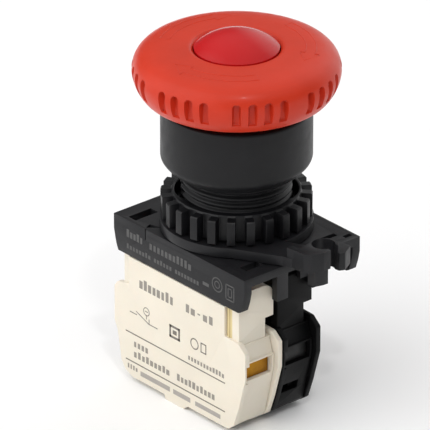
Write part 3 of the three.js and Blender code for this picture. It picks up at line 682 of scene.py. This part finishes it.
# ------------------------------------------------------------------ lever and base
LEVER_R = 15.2
LEVER_PLATE_Z = (-12.85, -10.85)
LEVER_HOLE_R = 11.4
LUG_BOTTOM_Z = -14.6
LEVER_CUT_Z = (-20, 0)            # clear of the lever below and above
BASE_WALL = 1.9
BASE_PLATE = 1.8
BASE_HOLE_R = 11.3
PLATE_SLOTS = (                   # x, y, half width, half depth
    (-9.7, -15.6, 2.15, 1.0), (-11.0, 15.4, 2.9, 1.1), (10.1, -15.9, 1.8, 0.6),
    (1.0, 15.6, 2.15, 1.1), (11.0, 15.6, 2.15, 1.1), (1.6, -15.8, 2.15, 1.0),
)
LEGS = ((-4.8, 1.4), (4.8, 1.8))  # x, half width


def lever_plate():
    """A flat ring with an arm, and on the arm's end a raised tab, a lug and a toe."""
    low, high = LEVER_PLATE_Z
    top = LEVER_HIGH.z
    obj = rod("lever_plate", LEVER_R, low, high, 128)
    arm = prism("arm", fillet([
        (-11.0, -10.4), (-9.75, -12.5), (-5.35, -19.9, 1.5), (-4.7, -22.0), (1.5, -22.0), (1.5, -19.4, 1.0),
        (-1.5, -14.0),
    ]), low, high)
    tab = prism("tab", fillet([
        (-4.85, -20.4, 0.2), (-4.5, -22.4, 0.0), (-4.3, -24.9, 0.15), (-3.2, -26.2, 0.15),
        (-0.8, -26.9, 0.5), (3.0, -26.9, 0.0), (4.4, -25.0, 0.5), (4.1, -22.6, 1.0), (1.4, -20.9, 1.0),
    ]), low, top)
    lug = prism("lug", fillet([
        (2.6, -21.1), (3.4, -23.4), (3.9, -26.1, 0.3), (5.0, -26.6, 0.4), (7.8, -25.0, 0.3),
        (7.4, -22.1, 0.3),
    ]), LUG_BOTTOM_Z, high)
    toe = prism("toe", [(-3.0, -24.7), (-2.6, -26.35), (-0.8, -26.85), (0.3, -26.9), (0.3, -24.7)],
                LEVER_LOW.z, low + 0.5)
    join(obj, arm, tab, lug, toe)
    hole = rod("hole", LEVER_HOLE_R, *LEVER_CUT_Z, 96)
    eye = rod("eye", 2.35, *LEVER_CUT_Z, 40, (1.7, -23.9))
    slit = prism("slit", [(1.0, -24.0), (0.9, -29), (3.3, -29), (3.4, -24.0)], *LEVER_CUT_Z)
    shelf = prism("shelf", [(-3.4, -22.4), (-3.2, -19.0), (8.0, -19.0), (8.0, -21.4), (2.6, -21.2)],
                  high + 0.6, top + 1)
    cut(obj, hole, eye, slit, shelf)
    ease(obj, 0.16, 3, 30)
    settle(obj, "lever", BASE_BLACK, 35, ["lock_lever"])


def base_tray():
    """A slotted plate between two side walls, with legs, sills and ribs under it at both ends."""
    top, bottom = BASE_HIGH.z, BASE_LOW.z
    half_x, half_y = BASE_HIGH.x, BASE_HIGH.y
    plate_low = top - BASE_PLATE
    obj = block("base_tray", (-half_x, -half_y, plate_low), (half_x, half_y, top))
    side = [
        (-half_y, top - 0.6), (-half_y, bottom + 4.4), (-half_y + 0.5, bottom + 2.2),
        (-half_y + 1.1, bottom + 0.4), (-half_y + 1.9, bottom), (half_y - 1.3, bottom),
        (half_y - 0.7, bottom + 1.4), (half_y, bottom + 4.4), (half_y, top - 0.6),
    ]
    added = [prism("wall", side, x, x + BASE_WALL, "X") for x in (-half_x, half_x - BASE_WALL)]
    for x, half in LEGS:
        for end, _ in ENDS:
            space = ((-half, half), (17.8, half_y - 0.35), (bottom + 0.1, top - 1))
            added.append(end_block("leg", x, end, space))
    for end, _ in ENDS:
        reach = (16.4, half_y - 1.3)
        added.append(end_block("sill", 0, end, ((0.6, 12.5), reach, (bottom + 2.6, plate_low + 0.2))))
        added.append(end_block("rib", 0, end, ((-12.6, -7.0), reach, (plate_low - 0.9, plate_low + 0.2))))
    join(obj, *added)
    removed = [rod("hole", BASE_HOLE_R, -30, 0, 96)]
    for x, y, wide, deep in PLATE_SLOTS:
        removed.append(block("slot", (x - wide, y - deep, plate_low - 3), (x + wide, y + deep, top + 1)))
    for y in (-17.9, 17.9):
        removed.append(block("notch", (12.4, y - 0.5, top - 0.7), (14.2, y + 0.5, top + 1)))
    removed.append(block("tick", (-15.5, 9.9, top - 2.4), (-14.6, 10.15, top + 1)))
    removed.append(prism("relief", [(-14.4, 10.6), (-12.0, 8.4), (-12.8, 11.2)], plate_low + 0.8, top + 1))
    cut(obj, *removed)
    ease(obj, 0.2, 3, 30)
    settle(obj, "housing", BASE_BLACK, 35, ["mounting_base"])


# ------------------------------------------------------------------ switch and lamp blocks
BLOCK_STEP = 10.0                 # from the switch block's middle to the lamp block's
HALF_BLOCK = 4.85
BLOCK_TOP = -21.1
BLOCK_BOTTOM = -47.6
BLOCK_HALF_LENGTH = 19.8
MOUTH_LOW, MOUTH_HIGH = -36.2, -32.3
SKIN = 1.1                        # the full-size wall on the side towards -X
SKIN_GAP = 0.05                   # between that wall and the hollows
CORE_INSET = 1.1                  # how much smaller the core's outline is
COVER = 1.15                      # thickness of the wall on the side towards +X
COVER_GAP = 0.15                  # the fine joint between core and cover
TONGUE_Y = (15.3, 17.3)
BLOCKS = ((-BLOCK_STEP, "switch"), (0.0, "lamp"))
SWITCH_FACE = -BLOCK_STEP - HALF_BLOCK


def block_outline(inset=0.0):
    """Seen along X: a neck under the base and a wide lower part, as (y, z, corner radius)."""
    top, bottom = BLOCK_TOP, BLOCK_BOTTOM
    wide = BLOCK_HALF_LENGTH - inset
    return fillet([
        (-13.6, top, 0), (-13.6, -27.6, 0.4), (-17.7 + inset, -27.7, 0.8), (-wide, -29.4, 0.8),
        (-wide, -35.0, 1.6), (-17.8 + inset * 0.7, -42.1, 2.0), (-16.3 + inset * 0.3, -46.4, 1.2),
        (-14.6, bottom, 0.9), (-2.6, bottom, 0), (-1.2, bottom - 1.0, 0.4), (4.2, bottom - 1.0, 0.4),
        (4.6, bottom, 0), (14.4, bottom, 1.2), (16.6 - inset * 0.3, -46.6, 0.9),
        (17.7 - inset * 0.6, -45.1, 0.8), (18.9 - inset, -38.7, 0.9), (wide, -36.8, 0.6),
        (wide, -29.2, 0.8), (18.9 - inset, -28.0, 0.6), (15.3, -27.2, 0.4), (15.3, top, 0),
    ], 4)


def tongue(x, end):
    """The tongue at each end of a case: one round upper corner, and a notch in the same side."""
    left, right = x - 4.3, x + 4.55
    outline = fillet([
        (left, -29.4), (right - 2.1, -29.4), (right - 2.1, -24.5), (right, -24.5, 0.1), (right, -17.4, 3.0),
        (x - 2.6, -17.4, 0.3), (x - 2.6, -21.0, 0.3), (left, -21.0, 0.3),
    ], 10)
    return prism("tongue", outline, *sorted(end * y for y in TONGUE_Y), "Y")


def end_slope(x, end):
    """The sloping lead-in between the foot of the tongue and the mouth, with a thin lip along each."""
    left, right = x - HALF_BLOCK + 0.4, x + HALF_BLOCK - COVER - COVER_GAP
    outline = [
        (14.0, -28.6), (17.55, -28.6), (17.55, -28.9), (17.3, -29.0), (18.3, MOUTH_HIGH + 0.3),
        (18.75, MOUTH_HIGH + 0.2), (18.75, MOUTH_HIGH), (14.0, MOUTH_HIGH),
    ]
    return prism("slope", [(end * y, z) for y, z in outline], left, right, "X")


def block_case(name, x, node, material):
    """A hollow case: a thin full-size wall, a core behind it, and at each end a tongue over a wire mouth."""
    left, right = x - HALF_BLOCK, x + HALF_BLOCK - COVER - COVER_GAP
    inside = SKIN + SKIN_GAP - HALF_BLOCK
    obj = prism(name, block_outline(), left, left + SKIN, "X")
    join(obj, prism("core", block_outline(CORE_INSET), left + 0.6, right, "X"))
    removed = [block("chamber", (x + inside, -7.4, -45.4), (right + 2, 7.4, -22.6))]
    for end, _ in ENDS:
        removed += [
            end_block("recess", x, end, ((inside, 6), (12.6, 22.0), (-32.0, -17))),
            end_block("room", x, end, ((inside, 2.8), (10.0, 17.2), (-37.0, -30.4))),
            end_block("mouth", x, end, ((0.4 - HALF_BLOCK, 3.1), (17.0, 22.0), (MOUTH_LOW, MOUTH_HIGH))),
            rod("driver_way", 2.6, -50, -37.0, 40, (x - 0.6, end * 12.9)),
        ]
    removed.append(rod("plunger_way", 2.9, -24, -17, 32, (x, 0)))
    cut(obj, *removed)
    join(obj, *[piece(x, end) for end, _ in ENDS for piece in (tongue, end_slope)])
    if material is LAMP_BLACK:
        window = ((-3.2, 1.2), (15.4, 22.0), (-43.0, -41.0))
        cut(obj, *[end_block("window", x, end, window) for end, _ in ENDS])
    ease(obj, 0.14, 2, 35)
    settle(obj, "housing", material, 35, [node])


def block_cover(name, x, node, material):
    obj = prism(name, block_outline(), x + HALF_BLOCK - COVER, x + HALF_BLOCK, "X")
    ease(obj, 0.22, 3, 35)
    settle(obj, "housing", material, 35, [node])


def terminal_clamp(name, x, end, node, material):
    """The pressure plate over the wire; its outer edge is turned down as a lip behind the mouth."""
    obj = end_block(name, x, end, ((-3.4, 2.4), (10.4, 17.5), (-35.1, -34.3)))
    join(obj, end_block("lip", x, end, ((-3.6, 2.9), (17.1, 17.6), (MOUTH_LOW + 0.1, MOUTH_HIGH - 0.1))))
    ease(obj, 0.12, 2, 35)
    settle(obj, "housing", material, 35, [node])


def slot_panel():
    """The pale inner wall seen through the slots beside the switch block's neck."""
    height = (-28.9, -21.2)
    for end, word in ENDS:
        obj = end_block(f"switch_slot_panel_{word}", SWITCH_FACE, end, ((0.6, 0.9), (13.7, 15.25), height))
        join(obj, end_block("rib", SWITCH_FACE, end, ((0.35, 0.7), (14.3, 14.6), height)))
        ease(obj, 0.08, 2, 35)
        settle(obj, "housing", NATURAL, 35)


# ------------------------------------------------------------------ printing
INK_DEPTHS = (0.02, -0.018)       # how far a bar reaches into the face and stands off it
SWITCH_WORDS = (                  # y from, y to, z, height, letters, how full
    (12.3, 1.7, -25.8, 2.2, 8, 0.7), (-1.7, -4.9, -25.8, 1.8, 2, 0.72), (-6.9, -10.4, -25.8, 1.8, 2, 0.72),
    (-2.5, -13.6, -36.4, 1.1, 12, 0.66), (14.1, 9.4, -39.9, 1.5, 4, 0.64), (14.1, 2.9, -42.2, 1.5, 9, 0.7),
    (0.9, -10.8, -42.2, 1.5, 10, 0.7), (16.0, 12.7, -45.5, 1.0, 4, 0.6),
)
BASE_WORDS = (
    (15.9, 10.8, -16.0, 1.7, 5, 0.7), (9.0, -3.9, -16.2, 1.7, 11, 0.7), (15.9, 8.4, -18.8, 1.1, 8, 0.7),
    (7.6, 2.0, -18.8, 1.1, 6, 0.7), (1.2, -6.2, -18.8, 1.1, 8, 0.7),
)


def print_flat(name, bars, surface_x, ink):
    """Bars of ink on a face that looks towards -X. A bar is (middle y, middle z, length, height, tilt)."""
    verts, faces = [], []
    for y, z, length, height, tilt in bars:
        along = Vector((0, math.cos(math.radians(tilt)), math.sin(math.radians(tilt))))
        up = Vector((0, -along.z, along.y))
        start = len(verts)
        for depth in INK_DEPTHS:
            for a, b in ((-1, -1), (1, -1), (1, 1), (-1, 1)):
                spot = Vector((surface_x + depth, y, z)) + along * a * length / 2 + up * b * height / 2
                verts.append(tuple(spot))
        faces += [tuple(start + i for i in f) for f in (
            (0, 1, 2, 3), (4, 5, 6, 7), (0, 1, 5, 4), (1, 2, 6, 5), (2, 3, 7, 6), (3, 0, 4, 7))]
    obj = mesh_piece(name, verts, faces)
    settle(obj, "housing", ink, 30)


def frame_bars(y, z, width, height, stroke):
    """An empty upright box."""
    up, across = (height - stroke) / 2, (width - stroke) / 2
    return [
        (y, z + up, width, stroke, 0), (y, z - up, width, stroke, 0),
        (y + across, z, stroke, height, 0), (y - across, z, stroke, height, 0),
    ]


def blank_word(y_start, y_end, z, height, count, fill, dice):
    """A row of plain blocks where the object carries a word. It runs from y_start down to y_end."""
    pitch = (y_start - y_end) / count
    bars = []
    for i in range(count):
        y = y_start - pitch * (i + 0.5)
        tall = height * dice.choice((0.78, 0.78, 0.78, 1.0))
        bars.append((y, z - (height - tall) / 2, pitch * dice.uniform(fill - 0.12, fill + 0.06), tall, 0))
    return bars


def ring_bars(y, z, radius, stroke):
    """A ring of short bars that overlap a little."""
    count = 18
    length = 2 * math.pi * radius / count * 1.1
    bars = []
    for degrees in even_angles(count):
        t = math.radians(degrees)
        bars.append((y + radius * math.cos(t), z + radius * math.sin(t), length, stroke, degrees + 90))
    return bars


def switch_symbol(y, z):
    """The sign for a contact that opens when pressed: two leads, a slanted arm, a stop and a round head."""
    leads = [(y + 3.4, z + 0.3, 2.2, 0.2, 0), (y - 2.7, z - 0.4, 2.6, 0.2, 0)]
    arm = [(y + 0.6, z + 0.3, 4.2, 0.2, 20)]
    stop = [(y - 1.4, z + 0.1, 0.2, 1.2, 0), (y - 0.6, z + 0.9, 0.18, 1.0, 0)]
    head = ring_bars(y - 0.6, z + 2.1, 0.85, 0.17) + [(y - 0.6, z + 2.1, 0.95, 0.17, 0)]
    return leads + arm + stop + head


def blank_words(words, dice):
    return [bar for word in words for bar in blank_word(*word, dice)]


def printing():
    """Generic marks where the object is printed: plain blocks for words, and simple signs."""
    dice = random.Random(7)
    lines = [(1.3, -37.9, 30.2, 0.26, 0), (1.3, -44.2, 30.2, 0.26, 0)] + switch_symbol(10.6, -33.5)
    lines += frame_bars(1.4, -32.7, 3.2, 2.8, 0.5) + [(1.4, -32.7, 1.2, 0.9, 0)]
    lines += ring_bars(-4.6, -32.8, 1.1, 0.26) + frame_bars(-7.3, -32.8, 1.7, 2.2, 0.26)
    print_flat("switch_print", lines, SWITCH_FACE, DARK_INK)
    words = blank_words(SWITCH_WORDS, dice) + [(-5.9, -25.8, 0.8, 0.3, 0)]
    print_flat("switch_print_words", words, SWITCH_FACE, MID_INK)
    bands = [(7.4, -45.9, 9.0, 1.05, 0), (-0.7, -45.9, 5.2, 1.05, 0), (-8.6, -45.9, 7.6, 0.95, 0)]
    print_flat("switch_print_bands", bands, SWITCH_FACE, PALE_INK)
    marks = blank_words(BASE_WORDS, dice) + [(-8.2, -18.2, 1.8, 0.7, 0)]
    marks += ring_bars(-11.6, -17.0, 1.45, 0.24) + ring_bars(-11.6, -17.0, 0.7, 0.2)
    marks += frame_bars(-15.4, -17.4, 2.6, 3.4, 0.24) + frame_bars(-15.4, -17.4, 1.3, 2.0, 0.22)
    print_flat("base_print", marks, BASE_LOW.x, GREY_INK)


# ------------------------------------------------------------------ springs
FLAT_TURN = 0.6                   # share of a turn laid flat at each end


def coil(name, node, radius, wire, turns):
    """A wire spring that stands on its lower end."""
    low, high = node_box(node)
    centre = (low + high) / 2
    steps, sides = 32, 8
    bottom, top = low.z + wire, high.z - wire
    verts, faces = [], []
    for i in range(turns * steps + 1):
        turn = i / steps
        share = min(1.0, max(0.0, (turn - FLAT_TURN) / (turns - 2 * FLAT_TURN)))
        z = bottom + (top - bottom) * share
        t = 2 * math.pi * turn
        for k in range(sides):
            u = 2 * math.pi * k / sides
            reach = radius + wire * math.cos(u)
            x, y = centre.x + reach * math.cos(t), centre.y + reach * math.sin(t)
            verts.append((x, y, z + wire * math.sin(u)))
    for i in range(turns * steps):
        for k in range(sides):
            m = (k + 1) % sides
            faces.append((i * sides + k, i * sides + m, (i + 1) * sides + m, (i + 1) * sides + k))
    faces.append(tuple(reversed(range(sides))))
    faces.append(tuple(turns * steps * sides + k for k in range(sides)))
    obj = mesh_piece(name, verts, faces)
    settle(obj, "housing", SPRING_STEEL, 60, [node])
    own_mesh(obj)


# ------------------------------------------------------------------ CAD pieces that keep their shape
KEPT = {                          # node: material, width of its rounded edges
    "light_pipe": (CLEAR, 0.1), "stem_clip": (SPRING_STEEL, 0.08), "plunger_stem": (BLACK, 0.12),
    "latch_cam": (NATURAL, 0.12), "pusher_plate": (NATURAL, 0.15),
    "panel_gasket": (RUBBER, 0.15), "stem_seal": (RUBBER, 0.1), "neck_cap": (BLACK, 0.1),
    "contact_plunger": (ACTUATOR_RED, 0.12), "contact_bridge": (BRASS, 0.06),
    "lamp_board": (BOARD_GREEN, 0.05), "lamp_bulb": (CLEAR, 0.1),
}


def dress_cad():
    """Gives the CAD pieces that are kept their materials and slightly rounded edges."""
    dressed = dict(KEPT)
    for _, block_word in BLOCKS:
        for _, end_word in ENDS:
            dressed[f"{block_word}_terminal_{end_word}"] = (BRASS, 0.06)
            dressed[f"{block_word}_screw_{end_word}"] = (STEEL, 0.1)
    for node, (material, width) in dressed.items():
        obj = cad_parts[node]
        obj.data.materials.clear()
        obj.data.materials.append(material)
        weld = obj.modifiers.new("weld", "WELD")
        weld.merge_threshold = 0.001 * MM
        edge = obj.modifiers.new("edges", "BEVEL")
        edge.width = width * MM
        edge.segments = 2
        edge.limit_method = "ANGLE"
        edge.angle_limit = math.radians(35)


# ------------------------------------------------------------------ stage
FLOOR_HALF = 4.0                  # metres
FLOOR_TONES = ((0.93, 0.93, 0.93), (0.95, 0.95, 0.95))
SURROUNDINGS = 0.16
SOFT_BOXES = (                    # azimuth, elevation, cosine where the glow starts, strength
    (0, 90, 0.25, 0.95),
    (-110, 12, 0.4, 1.7),
    (98, 10, 0.7, 1.2),
)
SPARK_AZIMUTH = VIEW_AZIMUTH + 10
SPARK_ELEVATION = 56
SPARK_DISTANCE = 0.7              # metres
SPARK_SIZE = 0.04                 # metres
SPARK_POWER = 0.5                 # watts
AIM_LEFT, AIM_UP = 4.23, 1.87     # from the base's top centre to the middle of the picture
SENSOR_WIDTH = 36.0
LENS_LENGTH = 638.0
CLIP = (0.05, 20.0)               # metres


def direction(azimuth, elevation):
    """The unit vector from the object towards that azimuth and elevation in degrees."""
    a, e = math.radians(azimuth), math.radians(elevation)
    return Vector((math.sin(a) * math.cos(e), -math.cos(a) * math.cos(e), math.sin(e)))


def place(obj, back, location):
    """Puts a light or a camera at a location, with its back towards a direction."""
    obj.location = location
    obj.rotation_mode = "QUATERNION"
    obj.rotation_quaternion = back.to_track_quat("Z", "Y")
    bpy.context.scene.collection.objects.link(obj)


def spark():
    """A small lamp for the glints."""
    light = bpy.data.lights.new("spark", "AREA")
    light.shape = "RECTANGLE"
    light.size = light.size_y = SPARK_SIZE
    light.energy = SPARK_POWER
    back = direction(SPARK_AZIMUTH, SPARK_ELEVATION)
    place(bpy.data.objects.new("spark", light), back, back * SPARK_DISTANCE)


def floor():
    """A wide sheet of white paper under the lowest point."""
    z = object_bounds()[0].z
    corners = ((-1, -1), (1, -1), (1, 1), (-1, 1))
    mesh = bpy.data.meshes.new("floor")
    mesh.from_pydata([(x * FLOOR_HALF, y * FLOOR_HALF, z) for x, y in corners], [], [(0, 1, 2, 3)])
    made = Nodes("floor_paper")
    made.feed("Base Color", made.blend(made.clouds(6, 2, 0.0, 1.0), *FLOOR_TONES))
    made.fix("Roughness", 0.9)
    mesh.materials.append(made.material)
    sheet = bpy.data.objects.new("floor", mesh)
    bpy.context.scene.collection.objects.link(sheet)
    sheet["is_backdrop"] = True


def studio_world():
    """Even pale surroundings, brighter overhead and at two sides, as from very large soft boxes."""
    world = bpy.data.worlds.new("studio")
    world.use_nodes = True
    tree = world.node_tree
    background = tree.nodes["Background"]
    background.inputs["Color"].default_value = (1, 1, 1, 1)
    looking = tree.nodes.new("ShaderNodeTexCoord").outputs["Generated"]
    total = tree.nodes.new("ShaderNodeValue").outputs["Value"]
    total.default_value = SURROUNDINGS
    for azimuth, elevation, start, strength in SOFT_BOXES:
        facing = tree.nodes.new("ShaderNodeVectorMath")
        facing.operation = "DOT_PRODUCT"
        facing.inputs[1].default_value = direction(azimuth, elevation)
        tree.links.new(looking, facing.inputs[0])
        glow = tree.nodes.new("ShaderNodeMapRange")
        glow.interpolation_type = "SMOOTHSTEP"
        glow.inputs["From Min"].default_value = start
        glow.inputs["From Max"].default_value = 1.0
        glow.inputs["To Max"].default_value = strength
        tree.links.new(facing.outputs["Value"], glow.inputs["Value"])
        summed = tree.nodes.new("ShaderNodeMath")
        summed.operation = "ADD"
        tree.links.new(total, summed.inputs[0])
        tree.links.new(glow.outputs["Result"], summed.inputs[1])
        total = summed.outputs["Value"]
    tree.links.new(total, background.inputs["Strength"])
    bpy.context.scene.world = world


def camera():
    back = direction(VIEW_AZIMUTH, VIEW_ELEVATION)
    right = direction(VIEW_AZIMUTH + 90, 0)
    up = back.cross(right)
    aim = Vector((0, 0, BASE_HIGH.z)) - right * AIM_LEFT + up * AIM_UP
    cam = bpy.data.cameras.new("camera")
    cam.sensor_width = SENSOR_WIDTH
    cam.lens = LENS_LENGTH
    cam.clip_start, cam.clip_end = CLIP
    obj = bpy.data.objects.new("camera", cam)
    place(obj, back, (aim + back * VIEW_DISTANCE) * MM)
    bpy.context.scene.camera = obj


# ------------------------------------------------------------------ build
mushroom_head()
turn_arrows()
lens_dome()
bezel_shell()
nut_ring()
lever_plate()
base_tray()
block_case("switch_block_case", -BLOCK_STEP, "switch_case", CREAM)
block_cover("switch_block_cover", -BLOCK_STEP, "switch_cover", CREAM)
block_case("lamp_block_case", 0.0, "lamp_case", LAMP_BLACK)
block_cover("lamp_block_cover", 0.0, "lamp_cover", LAMP_BLACK)
for block_x, block_word in BLOCKS:
    # the lamp block's clamps get the near-black metal as painted shade in its wire mouths
    clamp_metal = BRASS if block_word == "switch" else SHADE_DARK_CLAMP_METAL
    for end, end_word in ENDS:
        node = f"{block_word}_clamp_{end_word}"
        terminal_clamp(f"{block_word}_wire_clamp_{end_word}", block_x, end, node, clamp_metal)
slot_panel()
coil("return_coil", "return_spring", 8.2, 0.4, 5)
coil("contact_coil", "contact_spring", 1.85, 0.28, 8)
printing()
dress_cad()
floor()
studio_world()
spark()
camera()
bpy.context.scene.view_settings.view_transform = "Standard"
